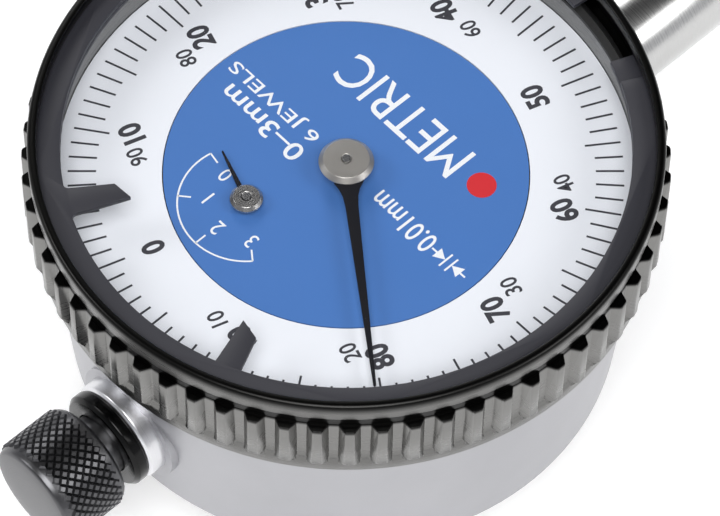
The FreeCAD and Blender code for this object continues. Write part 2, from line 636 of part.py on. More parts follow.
def rack_cock():
    """The bracket under the rear plate that carries the rack pinion's lower bearing."""
    y = (TRANSFER.y - COCK_HALF_WIDTH, TRANSFER.y + COCK_HALF_WIDTH)
    arm = box((COCK_FOOT_X[0], TRANSFER.x + 1.6), y, (COCK_Z, COCK_TOP_Z))
    foot = box(COCK_FOOT_X, y, (COCK_TOP_Z, REAR_PLATE_Z))
    return arm.fuse(foot)


def guide_screw_rows():
    return (GUIDE_PIN_Y - 1.7, GUIDE_PIN_Y + STROKE + 1.7)


def guide_bracket():
    """The slotted block that keeps the plunger from turning."""
    slot_y = (GUIDE_PIN_Y - GUIDE_PIN_R - SHIM, GUIDE_PIN_Y + STROKE + GUIDE_PIN_R + 3 * SHIM)
    block = box(GUIDE_X, (slot_y[0] - GUIDE_WALL, slot_y[1] + GUIDE_WALL), (AXIS_Z - 2.4, REAR_PLATE_Z))
    slot = box(GUIDE_X, slot_y, (AXIS_Z - GUIDE_PIN_R - SHIM, AXIS_Z + GUIDE_PIN_R + SHIM))
    return block.cut(slot)


# ---- gear train ---------------------------------------------------------------------
def gear_train():
    centre_phase = TRANSFER_DIRECTION
    rack_phase = 0.0
    rack_pinion_z = AXIS_Z - RACK_PINION_LENGTH / 2
    counter_direction = 90 - COUNTER_CLOCK
    hair_direction = 90 - HAIR_CLOCK
    add("transfer_arbor", stepped_arbor(TRANSFER, COCK_Z + SHIM, COCK_TOP_Z + EASE, BEARING_FACE_Z,
                                        FRONT_TOP_Z - SHIM, PIVOT_R))
    add("rack_pinion", gear(RACK_PINION_TEETH, TRANSFER, rack_pinion_z, RACK_PINION_LENGTH,
                            rack_phase, ARBOR_R))
    add("transfer_wheel", gear(TRANSFER_TEETH, TRANSFER, TRANSFER_WHEEL_Z, WHEEL_THICK,
                               meshing_phase(TRANSFER_DIRECTION, centre_phase, CENTRE_TEETH, TRANSFER_TEETH),
                               WHEEL_BORE_R, True))

    add("centre_arbor", stepped_arbor(CENTRE, REAR_PLATE_Z + SHIM, PILLAR_Z + EASE, BEARING_FACE_Z,
                                      HUB_TOP_Z + ARBOR_TIP, HAND_PIVOT_R))
    add("centre_pinion", gear(CENTRE_TEETH, CENTRE, CENTRE_PINION_Z, CENTRE_PINION_LENGTH,
                              centre_phase, ARBOR_R))
    add("drive_pinion", gear(DRIVE_TEETH, CENTRE, DRIVE_PINION_Z, DRIVE_PINION_LENGTH,
                             counter_direction, ARBOR_R))

    add("counter_arbor", stepped_arbor(COUNTER, REAR_PLATE_Z + SHIM, PILLAR_Z + EASE, BEARING_FACE_Z,
                                       SMALL_HUB_TOP_Z + ARBOR_TIP / 2, HAND_PIVOT_R))
    add("counter_wheel", gear(COUNTER_TEETH, COUNTER, COUNTER_WHEEL_Z, WHEEL_THICK,
                              meshing_phase(counter_direction, counter_direction, DRIVE_TEETH, COUNTER_TEETH),
                              WHEEL_BORE_R, True))

    add("hairspring_arbor", stepped_arbor(HAIR, REAR_PLATE_Z + SHIM, PILLAR_Z + EASE, BEARING_FACE_Z,
                                          FRONT_TOP_Z - SHIM, PIVOT_R))
    add("hairspring_wheel", gear(HAIR_TEETH, HAIR, HAIR_WHEEL_Z, WHEEL_THICK,
                                 meshing_phase(hair_direction, centre_phase, CENTRE_TEETH, HAIR_TEETH),
                                 WHEEL_BORE_R, True))
    collet_z = HAIR_SPRING_Z - HAIR_STUD_OVERHANG
    add("hairspring_collet", ring(COLLET_R, ARBOR_R, collet_z, collet_z + COLLET_LENGTH, HAIR))


def stepped_arbor(centre, z0, z1, z2, z3, top_pivot_r):
    """An arbor with its body from z1 to z2 and a thinner pivot at each end."""
    body = disc(ARBOR_R, z1, z2, centre)
    return body.fuse(disc(PIVOT_R, z0, z1, centre)).fuse(disc(top_pivot_r, z2, z3, centre))


# ---- springs ------------------------------------------------------------------------
def hair_spring_outer_r():
    return HAIR_SPRING_INNER_R + HAIR_SPRING_TURNS * HAIR_SPRING_PITCH


def hairspring():
    """A flat spiral of half turns whose centres step from side to side."""
    thick, height = HAIR_SPRING_BAND
    radius = HAIR_SPRING_INNER_R
    shift = 0.0
    step = HAIR_SPRING_PITCH / 2
    band_z = (HAIR_SPRING_Z, HAIR_SPRING_Z + height)
    reach = 2 * hair_spring_outer_r()
    pieces = []
    for k in range(2 * HAIR_SPRING_TURNS):
        side = 1 if k % 2 == 0 else -1
        centre = V(HAIR.x + shift, HAIR.y, 0)
        whole_ring = ring(radius + thick / 2, radius - thick / 2, band_z[0], band_z[1], centre)
        half_y = (centre.y, centre.y + reach) if side > 0 else (centre.y - reach, centre.y)
        cutter = box((centre.x - reach, centre.x + reach), half_y, band_z)
        pieces.append(whole_ring.common(cutter))
        radius += step
        shift += step * side
    add("hairspring", pieces[0].multiFuse(pieces[1:]))


def return_spring():
    """A tension spring from the post on the rear plate to the guide pin."""
    end_y = GUIDE_PIN_Y - GUIDE_PIN_R - SPRING_HOOK_R
    length = end_y - SPRING_START_Y
    turns = round(length / SPRING_PITCH)
    helix = Part.makeHelix(length / turns, length, SPRING_COIL_R)
    circle = Part.Wire(Part.makeCircle(SPRING_WIRE_R, V(SPRING_COIL_R, 0, 0), V(0, 1, 0)))
    coil = Part.Wire(helix).makePipeShell([circle], True, True)
    coil.rotate(V(0, 0, 0), V(1, 0, 0), -90)
    coil.translate(V(SPRING_X, SPRING_START_Y, AXIS_Z))
    add("return_spring", coil)


# ---- dial and hands -----------------------------------------------------------------
def dial_and_hands():
    add("dial_carrier", ring(CARRIER_R, CARRIER_R - CARRIER_WIDTH, FRONT_TOP_Z, DIAL_BOTTOM_Z))
    hole_r = HAND_PIVOT_R + EASE
    face = disc(DISC_R, DIAL_BOTTOM_Z, DIAL_Z)
    face = face.cut(disc(hole_r, DIAL_BOTTOM_Z, DIAL_Z)).cut(disc(hole_r, DIAL_BOTTOM_Z, DIAL_Z, COUNTER))
    add("centre_dial", face)
    add("scale_ring", ring(SCALE_OUTER_R, SCALE_INNER_R, DIAL_BOTTOM_Z, DIAL_Z))

    hub_profile = [
        (HAND_PIVOT_R, HUB_SPIGOT_Z), (HUB_SPIGOT_R, HUB_SPIGOT_Z), (HUB_SPIGOT_R, POINTER_Z + POINTER_THICK),
        (HUB_R, POINTER_Z + POINTER_THICK), (HUB_R, HUB_TOP_Z - HUB_CHAMFER),
        (HUB_R - HUB_CHAMFER, HUB_TOP_Z), (HAND_PIVOT_R, HUB_TOP_Z)]
    add("pointer_hub", turned_z(hub_profile))
    add("pointer", blade(CENTRE, HUB_R - 0.3, HUB_SPIGOT_R, POINTER_TIP_R, POINTER_CLOCK,
                         POINTER_FLARE, POINTER_TIP_HALF, POINTER_Z, POINTER_THICK))

    small_top = SMALL_POINTER_Z + SMALL_POINTER_THICK
    small_profile = [
        (HAND_PIVOT_R, DIAL_Z + 0.15), (SMALL_SPIGOT_R, DIAL_Z + 0.15), (SMALL_SPIGOT_R, small_top),
        (SMALL_HUB_R, small_top), (SMALL_HUB_R, SMALL_HUB_TOP_Z - SMALL_HUB_CHAMFER),
        (SMALL_HUB_R - SMALL_HUB_CHAMFER, SMALL_HUB_TOP_Z), (HAND_PIVOT_R, SMALL_HUB_TOP_Z)]
    add("small_hub", turned_z(small_profile, COUNTER))
    add("small_pointer", blade(COUNTER, SMALL_HUB_R - 0.2, SMALL_SPIGOT_R, SMALL_POINTER_LENGTH,
                               SMALL_POINTER_CLOCK, SMALL_POINTER_FLARE, SMALL_POINTER_TIP_HALF,
                               SMALL_POINTER_Z, SMALL_POINTER_THICK))


def blade(centre, eye_r, bore_r, tip_r, clock_angle, flare, tip_half, z, thick):
    """A tapered hand on a round eye."""
    left = [V(-half, out, 0) for half, out in flare] + [V(-tip_half, tip_r - tip_half, 0)]
    right = [V(-point.x, point.y, 0) for point in reversed(left)]
    outline = left + [V(0, tip_r, 0)] + right
    hand = prism(outline, z, z + thick).fuse(disc(eye_r, z, z + thick)).cut(disc(bore_r, z, z + thick))
    hand.rotate(V(0, 0, 0), V(0, 0, 1), -clock_angle)
    hand.translate(V(centre.x, centre.y, 0))
    return hand


# ---- bezel, crystal and limit hands -------------------------------------------------
SEAT_WALL_R = SCALE_OUTER_R + SHIM
SEAL_Z = CRYSTAL_Z - SEAL_THICK
CRYSTAL_TOP_Z = CRYSTAL_Z + CRYSTAL_THICK
LIMIT_GROOVE_Z = CRYSTAL_TOP_Z + SHIM
LOWER_LIMIT_Z = LIMIT_GROOVE_Z + SHIM
UPPER_LIMIT_Z = LOWER_LIMIT_Z + LIMIT_THICK + SHIM
LIMIT_GROOVE_TOP_Z = UPPER_LIMIT_Z + LIMIT_THICK + 2 * SHIM


def bezel_parts():
    skirt_r = NECK_R + 1.5 * RUN
    crystal_seat_r = CRYSTAL_R + RUN
    limit_groove_r = LIMIT_OUTER_R + RUN
    ledge_z = DIAL_BOTTOM_Z - LEDGE_THICK
    bezel = turned_z([
        (skirt_r, BEZEL_BOTTOM_Z), (skirt_r, ledge_z), (LEDGE_R, ledge_z),
        (LEDGE_R, DIAL_BOTTOM_Z), (SEAT_WALL_R, DIAL_BOTTOM_Z), (SEAT_WALL_R, SEAL_Z),
        (crystal_seat_r, SEAL_Z), (crystal_seat_r, LIMIT_GROOVE_Z), (limit_groove_r, LIMIT_GROOVE_Z),
        (limit_groove_r, LIMIT_GROOVE_TOP_Z), (LIP_INNER_R, LIMIT_GROOVE_TOP_Z + 0.15),
        (LIP_INNER_R, LIP_TOP_Z - 0.2), (LIP_INNER_R + 0.2, LIP_TOP_Z),
        (LIP_R - 0.3, LIP_TOP_Z), (LIP_R, LIP_TOP_Z - 0.35), (LIP_R, WAIST_Z + 0.4),
        (WAIST_R, WAIST_Z), (WAIST_R, RIB_TOP_Z), (RIB_R - 0.1, RIB_TOP_Z), (RIB_R, RIB_TOP_Z - 0.1),
        (RIB_R, RIB_BOTTOM_Z + 0.15), (BEZEL_BAND_R, RIB_BOTTOM_Z - 0.35),
        (BEZEL_BAND_R, BEZEL_BOTTOM_Z + 0.2), (BEZEL_BAND_R - 0.2, BEZEL_BOTTOM_Z)])
    snap_clear = SNAP_THICK + 2 * SHIM
    bezel = bezel.cut(ring(skirt_r + SNAP_DEPTH + RUN, skirt_r - 0.01, SNAP_Z, SNAP_Z + snap_clear))
    add("bezel", bezel.cut(rib_grooves()))

    snap = ring(skirt_r + SNAP_DEPTH, NECK_R - SNAP_DEPTH + RUN, SNAP_Z + SHIM, SNAP_Z + SHIM + SNAP_THICK)
    reach = NECK_R + 5
    wedge = [V(0, 0, 0), clock(reach, 180 - SNAP_GAP_HALF), clock(reach, 180 + SNAP_GAP_HALF)]
    add("bezel_snap_ring", snap.cut(prism(wedge, SNAP_Z, SNAP_Z + 1)))

    add("crystal", disc(CRYSTAL_R, CRYSTAL_Z, CRYSTAL_TOP_Z))
    add("crystal_seal", ring(crystal_seat_r - SHIM, SEAT_WALL_R, SEAL_Z, CRYSTAL_Z))
    lower_gap = [angle - LIMIT_STAGGER for angle in LIMIT_GAP_CLOCK]
    add("limit_hand_upper", limit_hand(UPPER_LIMIT_Z, LIMIT_GAP_CLOCK, UPPER_MARKER))
    add("limit_hand_lower", limit_hand(LOWER_LIMIT_Z, lower_gap, LOWER_MARKER))


def limit_hand(z, gap, marker):
    """A split ring with a finger inwards."""
    top = z + LIMIT_THICK
    body = ring(LIMIT_OUTER_R, LIMIT_INNER_R, z, top)
    reach = LIMIT_OUTER_R / math.cos(math.radians((gap[1] - gap[0]) / 2)) + 1
    wedge = [V(0, 0, 0), clock(reach, gap[0]), clock(reach, gap[1])]
    body = body.cut(prism(wedge, z, top))
    root_r = LIMIT_INNER_R + 0.4
    outline = [clock(LIMIT_INNER_R - reach_in if reach_in else root_r, angle) for angle, reach_in in marker]
    body = body.fuse(prism(outline, z, top)).removeSplitter()
    corners = []
    for edge in body.Edges:
        extent = edge.BoundBox
        upright = extent.ZLength > LIMIT_THICK * 0.9 and extent.XLength < 1e-6 and extent.YLength < 1e-6
        radius = math.hypot(extent.XMin, extent.YMin)
        bearing = math.degrees(math.atan2(extent.XMin, extent.YMin)) % 360
        at_root = marker[0][0] - 2 < bearing < marker[-1][0] + 2
        if upright and abs(radius - LIMIT_INNER_R) < 1e-3 and at_root:
            corners.append(edge)
    return body.makeFillet(LIMIT_FILLET, corners)


def rib_grooves():
    """Flat-bottomed flutes between the bezel's ribs."""
    mouth_r = RIB_R + 0.5
    flare = RIB_GROOVE_FLARE * (mouth_r - RIB_GROOVE_R) / (RIB_R - RIB_GROOVE_R)
    outline = [V(RIB_GROOVE_R, -RIB_GROOVE_FLOOR, 0), V(RIB_GROOVE_R, RIB_GROOVE_FLOOR, 0),
               V(mouth_r, RIB_GROOVE_FLOOR + flare, 0), V(mouth_r, -RIB_GROOVE_FLOOR - flare, 0)]
    grooves = []
    for k in range(RIB_COUNT):
        groove = prism(outline, RIB_BOTTOM_Z, RIB_TOP_Z + 0.4)
        groove.rotate(V(0, 0, 0), V(0, 0, 1), 360.0 * (k + 0.5) / RIB_COUNT)
        grooves.append(groove)
    return Part.makeCompound(grooves)


case_and_cover(magnetic_back())
plunger_line()
movement_frame()
gear_train()
hairspring()
return_spring()
dial_and_hands()
bezel_parts()

os.makedirs("parts", exist_ok=True)
for name, shape in nodes.items():
    shape.exportStep("parts/" + name + ".step")
    print(name, len(shape.Solids), round(shape.Volume, 4), shape.isValid())
print(len(nodes), "nodes")
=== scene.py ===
import math

import bmesh
import bpy
from mathutils import Matrix, Vector


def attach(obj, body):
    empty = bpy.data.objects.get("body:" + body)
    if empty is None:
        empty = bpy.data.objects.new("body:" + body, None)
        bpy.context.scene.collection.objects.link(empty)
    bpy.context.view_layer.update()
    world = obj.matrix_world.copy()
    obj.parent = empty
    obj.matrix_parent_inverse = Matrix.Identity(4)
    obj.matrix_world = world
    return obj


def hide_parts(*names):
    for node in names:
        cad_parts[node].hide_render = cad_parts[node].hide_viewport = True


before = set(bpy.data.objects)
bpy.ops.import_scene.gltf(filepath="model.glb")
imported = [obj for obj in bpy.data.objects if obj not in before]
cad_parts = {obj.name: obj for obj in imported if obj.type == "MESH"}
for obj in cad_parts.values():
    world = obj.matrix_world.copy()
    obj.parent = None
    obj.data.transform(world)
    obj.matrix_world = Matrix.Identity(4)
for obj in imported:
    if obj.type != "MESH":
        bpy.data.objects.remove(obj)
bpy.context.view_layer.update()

# A plunger dial indicator with a magnetic back. Sizes are millimetres until a piece is
# finished, and clock angles are degrees clockwise from 12 o'clock on the dial.

MM = 0.001
AXIS_Z = 16.0
DIAL_Z = 30.0
INK = 0.02
JOIN = 1e-4

RIB_COUNT = 64
RIB_R = 29.0
GROOVE_R = 28.15
SHOULDER_R = 28.5
SHOULDER_Z = 27.15
RIB_TOP_Z = 33.2
WAIST_R = 28.1

PLUNGER_BORE_R = 2.02
BUSHING_R = 5.0
SPIGOT_R = 4.3
COLLAR_BORE_R = 3.1
BUSHING_FACE_Y = 28.3
COLLAR_SEAT_Y = 26.8
STEM_R = 4.7625
STEM_TOP_Y = -30.0
STEM_END_Y = -48.0
STEM_CHAMFER = 0.5
KNURL_R = 5.02
KNURL_FOOT_Y = 31.7
KNURL_HEAD_Y = 37.3

DIVISIONS = 100
SCALE_TURN = 17.2
SCALE_EDGE_R = 25.0
LONG_MARK_R = 21.73
SHORT_MARK_R = 22.45
COUNTER_CENTRE = (3.5307, 8.8724)
COUNTER_MARK_R = (5.0, 6.2)


# ---- shader maths ---------------------------------------------------------------------
class Wire:
    """An output socket whose values can be used in an expression."""

    def __init__(self, finish, socket):
        self.finish = finish
        self.socket = socket

    def maths(self, operation, *values):
        return self.finish.node("Math", {"operation": operation}, dict(enumerate(values)))

    def __add__(self, other):
        return self.maths("ADD", self, other)

    def __sub__(self, other):
        return self.maths("SUBTRACT", self, other)

    def __rsub__(self, other):
        return self.maths("SUBTRACT", other, self)

    def __mul__(self, other):
        return self.maths("MULTIPLY", self, other)

    def __truediv__(self, other):
        return self.maths("DIVIDE", self, other)

    def __pow__(self, other):
        return self.maths("POWER", self, other)

    def __lt__(self, other):
        return self.maths("LESS_THAN", self, other)

    __radd__ = __add__


class Finish:
    """A material with a Principled shader and the nodes that vary it."""

    def __init__(self, name, **constants):
        self.material = bpy.data.materials.new(name)
        self.material.use_nodes = True
        self.tree = self.material.node_tree
        self.shader = self.tree.nodes["Principled BSDF"]
        for socket, value in constants.items():
            self.feed(self.shader.inputs[socket.replace("_", " ")], value)
        self.place = self.node("TexCoord", output="Object")

    def node(self, kind, settings=None, sockets=None, output=0):
        """Add a node: its settings first, then its sockets by name or number."""
        made = self.tree.nodes.new("ShaderNode" + kind)
        for key, value in (settings or {}).items():
            if key == "stops":
                self.set_stops(made.color_ramp.elements, value)
            else:
                setattr(made, key, value)
        for key, value in (sockets or {}).items():
            self.feed(made.inputs[key], value)
        return Wire(self, made.outputs[output])

    def set_stops(self, elements, stops):
        for index, (position, colour) in enumerate(stops):
            stop = elements[index] if index < 2 else elements.new(position)
            stop.position = position
            stop.color = (*colour, 1.0)

    def feed(self, socket, value):
        if isinstance(value, Wire):
            self.tree.links.new(value.socket, socket)
        elif socket.type == "RGBA":
            socket.default_value = (*value, 1.0)
        else:
            socket.default_value = value

    def vary(self, **sockets):
        """Feed the shader's varying sockets."""
        for key, value in sockets.items():
            self.feed(self.shader.inputs[key.replace("_", " ")], value)

    def grain(self, size, detail=2.0):
        """Noise whose grains are about a size in millimetres."""
        return self.node("TexNoise", {}, {"Vector": self.place, "Scale": 1 / (size * MM), "Detail": detail})

    def rings(self, place, pitch):
        """Turning marks about a pitch in millimetres apart."""
        sockets = {"W": place, "Scale": 1 / (pitch * MM), "Detail": 3.0}
        return self.node("TexNoise", {"noise_dimensions": "1D"}, sockets)

    def blend(self, share, low, high):
        """A colour between two."""
        return self.node("Mix", {"data_type": "RGBA"}, {0: share, 6: low, 7: high}, output=2)

    def shades(self, share, colour, darkest, lightest):
        """A colour between a darker and a lighter shade of it."""
        dark = [c * darkest for c in colour]
        light = [min(1.0, c * lightest) for c in colour]
        return self.blend(share, dark, light)

    def bump(self, height, depth):
        """A normal from a height of 0 to 1 that is a depth in millimetres tall."""
        normal = self.node("Bump", {}, {"Height": height, "Distance": depth * MM, "Strength": 1.0})
        self.vary(Normal=normal)

    def axes(self):
        parts = self.node("SeparateXYZ", {}, {0: self.place})
        return [Wire(self, parts.socket.node.outputs[axis]) for axis in range(3)]

    def reach(self, across, up):
        """The distance from an axis, from the two offsets across it."""
        return (across * across + up * up) ** 0.5


def blasted(name, colour, roughness, grain, depth, metallic=1.0):
    """Bead-blasted or cast metal: fine pits and a faint cloud of tone."""
    finish = Finish(name, Metallic=metallic)
    pits = finish.grain(grain, 3.0)
    cloud = finish.grain(grain * 60, 2.0)
    tone = cloud * 0.6 + pits * 0.4
    finish.vary(Base_Color=finish.shades(tone, colour, 0.93, 1.05), Roughness=roughness + (pits - 0.5) * 0.16)
    finish.bump(pits, depth)
    return finish


def turned_metal(name, colour, roughness, axis="z", centre=(0.0, 0.0), line=0.05, depth=0.0006):
    """Lathe-turned metal: fine rings around an axis."""
    finish = Finish(name, Metallic=1.0)
    x, y, z = finish.axes()
    along, across = (z, y) if axis == "z" else (y, z)
    away = finish.reach(x - centre[0] * MM, across - centre[1] * MM)
    rings = finish.rings(along + away, line)
    smear = finish.grain(line * 30, 2.0)
    tone = rings * 0.7 + smear * 0.3
    finish.vary(Base_Color=finish.shades(tone, colour, 0.9, 1.06), Roughness=roughness + (rings - 0.5) * 0.14)
    finish.bump(rings, depth)
    return finish


def turned_on_plunger(name, colour, roughness, line=0.05, depth=0.0006):
    """Metal turned about the plunger's axis."""
    return turned_metal(name, colour, roughness, "y", (0.0, AXIS_Z), line, depth)


def painted(name, colour, roughness, grain=0.08, depth=0.0004, shift=0.04, gloss=0.35):
    """Printed or painted surface: a fine orange peel and a faint change of tone."""
    finish = Finish(name, Metallic=0.0, Specular_IOR_Level=gloss)
    peel = finish.grain(grain, 2.0)
    cloud = finish.grain(grain * 80, 2.0)
    tone = cloud * 0.5 + peel * 0.5
    finish.vary(Base_Color=finish.shades(tone, colour, 1 - shift, 1 + shift),
                Roughness=roughness + (peel - 0.5) * 0.1)
    finish.bump(peel, depth)
    return finish


def sintered(name, colour, roughness):
    """Ferrite: dark grey with bright specks and open pores."""
    finish = Finish(name, Metallic=0.2)
    pores = finish.grain(0.25, 5.0)
    specks = finish.node("TexVoronoi", {}, {"Vector": finish.place, "Scale": 1 / (0.3 * MM)})
    glint = (specks < 0.18) * 0.5 + pores * 0.5
    finish.vary(Base_Color=finish.shades(glint, colour, 0.7, 1.6), Roughness=roughness - glint * 0.2)
    finish.bump(pores, 0.01)
    return finish


def plated_bezel():
    """Black plated metal with painted light by height: grey painted reflection on the ribs and the lip's
    side, painted shade full black in the waist and on top.
    """
    finish = Finish("black bezel with painted shade and reflection", Metallic=1.0)
    x, y, z = finish.axes()
    ramp_top = 40.0
    # Colours by height are painted light: the lighter greys on the ribs and the lip's side are painted
    # reflection, the near-black in the waist and on the top is painted shade.
    painted_light_greys = ((27.0, 0.15), (29.0, 0.21), (32.8, 0.21), (33.1, 0.012), (34.1, 0.012),
             (34.6, 0.13), (35.2, 0.15), (35.9, 0.03), (36.1, 0.02))
    stops = [(height / ramp_top, (grey, grey * 0.99, grey * 0.96)) for height, grey in painted_light_greys]
    painted_light_ramp = finish.node("ValToRGB", {"stops": stops}, {0: z / (ramp_top * MM)})
    rings = finish.rings(z + finish.reach(x, y), 0.2)
    cloud = finish.grain(4.0, 2.0)
    tone = finish.blend(rings * 0.6 + cloud * 0.4, (0.84, 0.84, 0.84), (1.12, 1.12, 1.12))
    multiply = {"data_type": "RGBA", "blend_type": "MULTIPLY"}
    toned_painted_light = finish.node("Mix", multiply, {0: 1.0, 6: painted_light_ramp, 7: tone}, output=2)
    finish.vary(Base_Color=toned_painted_light, Roughness=0.29 + (rings - 0.5) * 0.12)
    finish.bump(rings, 0.0004)
    return finish


FINISHES = {
    "case_silver": blasted("satin blasted aluminium", (0.42, 0.42, 0.44), 0.42, 0.07, 0.002),
    "cover_silver": turned_metal("turned aluminium", (0.66, 0.66, 0.67), 0.34, line=0.12, depth=0.001),
    "plain_steel": turned_on_plunger("ground steel", (0.52, 0.52, 0.53), 0.24),
    "screw_steel": blasted("bright screw steel", (0.55, 0.55, 0.56), 0.25, 0.15, 0.0008),
    "pot_steel": blasted("nickel plated steel", (0.62, 0.60, 0.57), 0.22, 0.3, 0.001),
    "magnet_grey": sintered("ferrite", (0.05, 0.05, 0.055), 0.6),
    "brass": turned_metal("lacquered brass", (0.78, 0.55, 0.22), 0.28, line=0.08),
    "ruby": painted("ruby", (0.45, 0.01, 0.05), 0.12, shift=0.2),
    "black_metal": turned_on_plunger("polished black metal", (0.02, 0.02, 0.02), 0.2),
    "knob_black": turned_on_plunger("gunmetal", (0.11, 0.11, 0.115), 0.33, line=0.09),
    "bezel_black": plated_bezel(),
    "limit_black": blasted("matt slate black", (0.028, 0.028, 0.036), 0.5, 0.08, 0.001, metallic=0.0),
    "hand_black": painted("satin black", (0.003, 0.003, 0.006), 0.45, gloss=0.08),
    "hub_steel": turned_metal("turned hub steel", (0.60, 0.575, 0.54), 0.33, line=0.14, depth=0.003),
    "spring_steel": blasted("spring steel", (0.42, 0.42, 0.44), 0.3, 0.1, 0.0006),
    "dial_blue": painted("blue dial enamel", (0.050, 0.165, 0.47), 0.45),
    "scale_white": painted("white scale enamel", (0.80, 0.825, 0.88), 0.45, shift=0.015),
    "seal_black": blasted("black rubber", (0.02, 0.02, 0.02), 0.7, 0.1, 0.002, metallic=0.0),
}
bushing_silver = turned_on_plunger("turned bushing", (0.70, 0.70, 0.72), 0.3, line=0.08, depth=0.001)
stem_steel = turned_on_plunger("ground stem steel", (0.54, 0.54, 0.535), 0.28)
small_hub_steel = turned_metal("small hub steel", (0.50, 0.49, 0.48), 0.26, centre=COUNTER_CENTRE,
                               line=0.06, depth=0.002)
dark_ink = painted("dark grey ink", (0.035, 0.035, 0.045), 0.5, shift=0.1)
white_ink = painted("white ink", (0.82, 0.84, 0.87), 0.5)
red_ink = painted("red ink", (0.60, 0.012, 0.020), 0.45)


def clear_crystal():
    """Clear plastic, all but unseen over the dial."""
    finish = Finish("clear crystal", Metallic=0.0, IOR=1.49, Specular_IOR_Level=0.2)
    haze = finish.grain(6.0, 2.0)
    finish.vary(Base_Color=finish.blend(haze, (0.30, 0.31, 0.32), (0.38, 0.39, 0.40)),
                Roughness=0.03 + haze * 0.03, Alpha=0.010 + haze * 0.008)
    return finish


FINISHES["crystal_clear"] = clear_crystal()


# ---- making pieces ----------------------------------------------------------------------
FLAT_FACE_CORNERS = 9


def finished(name, bm, body, slot, finish=None, stands_for=(), sharp=32.0):
    """Close a mesh in millimetres and put it on a body as a piece."""
    bmesh.ops.remove_doubles(bm, verts=bm.verts, dist=JOIN)
    bmesh.ops.recalc_face_normals(bm, faces=bm.faces)
    bmesh.ops.scale(bm, vec=(MM, MM, MM), verts=bm.verts)
    mesh = bpy.data.meshes.new(name)
    bm.to_mesh(mesh)
    bm.free()
    for face in mesh.polygons:
        face.use_smooth = face.loop_total < FLAT_FACE_CORNERS
    mesh.set_sharp_from_angle(angle=math.radians(sharp))
    mesh.materials.append((finish or FINISHES[slot]).material)
    piece = bpy.data.objects.new(name, mesh)
    bpy.context.scene.collection.objects.link(piece)
    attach(piece, body)
    if stands_for:
        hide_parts(*stands_for)
    return piece


def chain(bm, profile):
    """Edges through (radius, height) points, closed unless both ends are on the axis."""
    verts = [bm.verts.new((r, 0.0, z)) for r, z in profile]
    edges = [bm.edges.new(pair) for pair in zip(verts, verts[1:])]
    if profile[0][0] > 0 or profile[-1][0] > 0:
        edges.append(bm.edges.new((verts[-1], verts[0])))
    return verts + edges


def ease(bm, width, segments=2, corner=24.0, only=lambda edge: True):
    """Round the edges that turn by more than a corner angle."""
    limit = math.radians(corner)
    edges = [e for e in bm.edges if e.is_manifold and e.calc_face_angle() > limit and only(e)]
    bmesh.ops.bevel(bm, geom=edges, offset=width, offset_type="OFFSET", segments=segments, profile=0.5,
                    affect="EDGES", clamp_overlap=True, material=-1)


def turned(profile, steps=128, round_off=0.0, segments=2):
    """A shape turned about Z."""
    bm = bmesh.new()
    bmesh.ops.spin(bm, geom=chain(bm, profile), cent=(0, 0, 0), axis=(0, 0, 1), angle=math.tau, steps=steps,
                   use_merge=True)
    bmesh.ops.remove_doubles(bm, verts=bm.verts, dist=JOIN)
    bmesh.ops.recalc_face_normals(bm, faces=bm.faces)
    if round_off:
        ease(bm, round_off, segments)
    return bm


def onto_plunger_axis(bm):
    """Lay a shape turned about Z along the plunger, its heights becoming Y."""
    bmesh.ops.rotate(bm, cent=(0, 0, 0), matrix=Matrix.Rotation(math.radians(-90), 3, "X"), verts=bm.verts)
    bmesh.ops.translate(bm, vec=(0, 0, AXIS_Z), verts=bm.verts)
    return bm


def shifted(bm, vec):
    """Move a whole mesh."""
    bmesh.ops.translate(bm, vec=vec, verts=bm.verts)
    return bm


def arc(centre, radius, start, end, steps):
    """Profile points round a corner, in degrees from the profile's radius axis."""
    turns = [math.radians(start + (end - start) * k / steps) for k in range(steps + 1)]
    return [(centre[0] + radius * math.cos(a), centre[1] + radius * math.sin(a)) for a in turns]


def eased_copy(node, width, segments=2, corner=40.0):
    """A CAD node's mesh in millimetres with its corners rounded."""
    bm = bmesh.new()
    bm.from_mesh(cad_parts[node].data)
    bmesh.ops.scale(bm, vec=(1 / MM, 1 / MM, 1 / MM), verts=bm.verts)
    bmesh.ops.remove_doubles(bm, verts=bm.verts, dist=1e-3)
    bmesh.ops.dissolve_limit(bm, angle_limit=math.radians(1.0), verts=bm.verts, edges=bm.edges)
    ease(bm, width, segments, corner)
    return bm


# ---- bezel -------------------------------------------------------------------------------
def bezel_profile(rib):
    """The bezel's section, through a rib or through a groove."""
    shoulder = (SHOULDER_R, SHOULDER_Z)
    if rib:
        wall = [shoulder, (28.88, 27.5), (RIB_R, 27.72), (RIB_R, 33.0), (28.94, 33.14), (28.8, RIB_TOP_Z)]
    else:
        wall = [shoulder, (28.47, 27.3), (28.24, 27.62), (GROOVE_R, 27.85), (GROOVE_R, 33.1),
                (28.12, RIB_TOP_Z)]
    foot = [(28.25, 25.8), (28.42, 25.87), (SHOULDER_R, 26.05)]
    waist = [(WAIST_R, RIB_TOP_Z), (WAIST_R, 34.06)]
    lip = arc((27.95, 34.55), 0.4, -66, 0, 4) + arc((27.93, 35.88), 0.42, 0, 90, 6)
    top = arc((27.66, 36.14), 0.16, 90, 180, 3)
    inside = [(27.5, 35.22), (27.85, 35.07), (27.85, 33.75), (26.95, 33.75), (26.95, 32.5), (26.15, 32.5),
              (26.15, 29.5), (25.2, 29.5), (25.2, 28.8), (25.75, 28.8), (25.75, 27.6), (26.4, 27.6),
              (26.4, 27.0), (25.75, 27.0), (25.75, 25.8)]
    return foot + wall + waist + lip + top + inside


